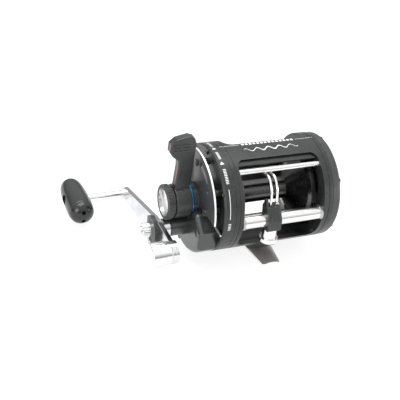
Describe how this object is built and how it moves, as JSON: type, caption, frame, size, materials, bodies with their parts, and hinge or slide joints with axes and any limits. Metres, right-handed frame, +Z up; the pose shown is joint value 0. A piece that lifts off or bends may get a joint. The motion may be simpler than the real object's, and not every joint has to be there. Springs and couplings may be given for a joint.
{
  "type": "trolling fishing reel",
  "caption": "Level-wind trolling reel with lever drag, right-hand crank with counterweight and barrel knob, open front window and saddle foot.",
  "frame": {"origin": "centre of the reel foot's underside", "axes": "+X along the spool axis towards the palm side (handle on -X), -Y towards the line guide, +Z up from the foot"},
  "size_m": [0.1793, 0.1314, 0.0977],
  "materials": {
    "brushed_steel_steel": "steel",
    "aluminium_blue_anodised": "blue anodised",
    "matte_plastic_black_moulding": "black moulding",
    "chrome_polished_chrome_plate": "polished chrome plate",
    "aluminium_black_anodised": "black anodised",
    "brushed_steel_brushed_stainless_steel": "brushed stainless steel",
    "matte_plastic_fine_grained_black_moulding": "fine-grained black moulding",
    "gloss_plastic_glossy_dark_grey": "glossy dark grey",
    "painted_metal_black": "black",
    "brass_machined_brass": "machined brass",
    "aluminium_grey_anodised_knurled": "grey anodised, knurled"
  },
  "bodies": {
    "reel": {"anti_reverse_bearing": "brushed_steel_steel", "drag_quadrant": "brushed_steel_brushed_stainless_steel", "foot_screws": "brushed_steel_steel", "frame": "matte_plastic_fine_grained_black_moulding", "gear_housing": "matte_plastic_fine_grained_black_moulding", "handle_plate_screws": "brushed_steel_steel", "handle_side_plate": "matte_plastic_fine_grained_black_moulding", "housing_screws": "brushed_steel_steel", "idler_pin": "brushed_steel_steel", "palm_plate_screws": "brushed_steel_steel", "palm_side_cover": "matte_plastic_fine_grained_black_moulding", "quadrant_posts": "brushed_steel_brushed_stainless_steel", "reel_foot": "brushed_steel_brushed_stainless_steel", "spool_shaft": "brushed_steel_steel", "stabilizer_bar": "chrome_polished_chrome_plate", "worm_bushings": "brass_machined_brass", "worm_guard_tube": "chrome_polished_chrome_plate"},
    "crank": {"drive_shaft": "chrome_polished_chrome_plate", "drive_gear": "brushed_steel_steel", "crank_hub_sleeve": "chrome_polished_chrome_plate", "crank_arm": "chrome_polished_chrome_plate", "lock_plate": "painted_metal_black", "handle_nut": "chrome_polished_chrome_plate", "lock_screw": "chrome_polished_chrome_plate", "counterweight": "chrome_polished_chrome_plate", "knob_post": "chrome_polished_chrome_plate", "knob_screw": "chrome_polished_chrome_plate"},
    "knob": {"handle_knob": "gloss_plastic_glossy_dark_grey", "knob_end_cap": "gloss_plastic_glossy_dark_grey"},
    "spool": {"spool": "aluminium_black_anodised", "spool_bearings": "brushed_steel_steel", "drag_disc": "matte_plastic_black_moulding", "pressure_plate": "brushed_steel_steel", "pinion": "brass_machined_brass", "level_wind_drive_gear": "matte_plastic_black_moulding", "click_wheel": "matte_plastic_black_moulding"},
    "idler": {"idler_gear": "matte_plastic_black_moulding"},
    "worm": {"worm_shaft": "brushed_steel_steel", "worm_gear": "brass_machined_brass"},
    "carriage": {"line_guide_carriage": "aluminium_black_anodised", "guide_wires": "chrome_polished_chrome_plate", "pawl": "brushed_steel_steel", "pawl_cap": "chrome_polished_chrome_plate"},
    "lever": {"drag_lever": "aluminium_black_anodised", "cam_ring": "aluminium_blue_anodised"},
    "preset": {"preset_knob": "aluminium_grey_anodised_knurled"},
    "clicker": {"click_button": "matte_plastic_black_moulding", "click_tongue": "brushed_steel_steel"}
  },
  "joints": [
    {"name": "crank_turn", "type": "hinge", "parent": "reel", "child": "crank", "pos_m": [0, -0.0026, 0.0262], "axis": [1, 0, 0], "continuous": true},
    {"name": "knob_spin", "type": "hinge", "parent": "crank", "child": "knob", "pos_m": [0, 0.06644, 0.01465], "axis": [1, 0, 0], "continuous": true},
    {"name": "spool_turn", "type": "hinge", "parent": "reel", "child": "spool", "pos_m": [0, 0, 0.046], "axis": [1, 0, 0], "continuous": true},
    {"name": "idler_turn", "type": "hinge", "parent": "reel", "child": "idler", "pos_m": [0, -0.0182, 0.04443], "axis": [1, 0, 0], "continuous": true},
    {"name": "worm_turn", "type": "hinge", "parent": "reel", "child": "worm", "pos_m": [0, -0.0344, 0.04303], "axis": [1, 0, 0], "continuous": true},
    {"name": "line_guide_travel", "type": "slide", "parent": "reel", "child": "carriage", "axis": [1, 0, 0], "range_m": [-0.0145, 0.03]},
    {"name": "drag_lever_swing", "type": "hinge", "parent": "reel", "child": "lever", "pos_m": [0, 0, 0.046], "axis": [1, 0, 0], "range_deg": [0, 75]},
    {"name": "preset_turn", "type": "hinge", "parent": "reel", "child": "preset", "pos_m": [0, 0, 0.046], "axis": [1, 0, 0], "range_deg": [-150, 150]},
    {"name": "click_slide", "type": "slide", "parent": "reel", "child": "clicker", "axis": [0, 0, 1], "range_m": [-0.005, 0]}
  ],
  "couplings": [
    {"joint": "spool_turn", "follows": "crank_turn", "ratio": -4.2},
    {"joint": "idler_turn", "follows": "crank_turn", "ratio": 1.5849},
    {"joint": "worm_turn", "follows": "crank_turn", "ratio": -7}
  ]
}
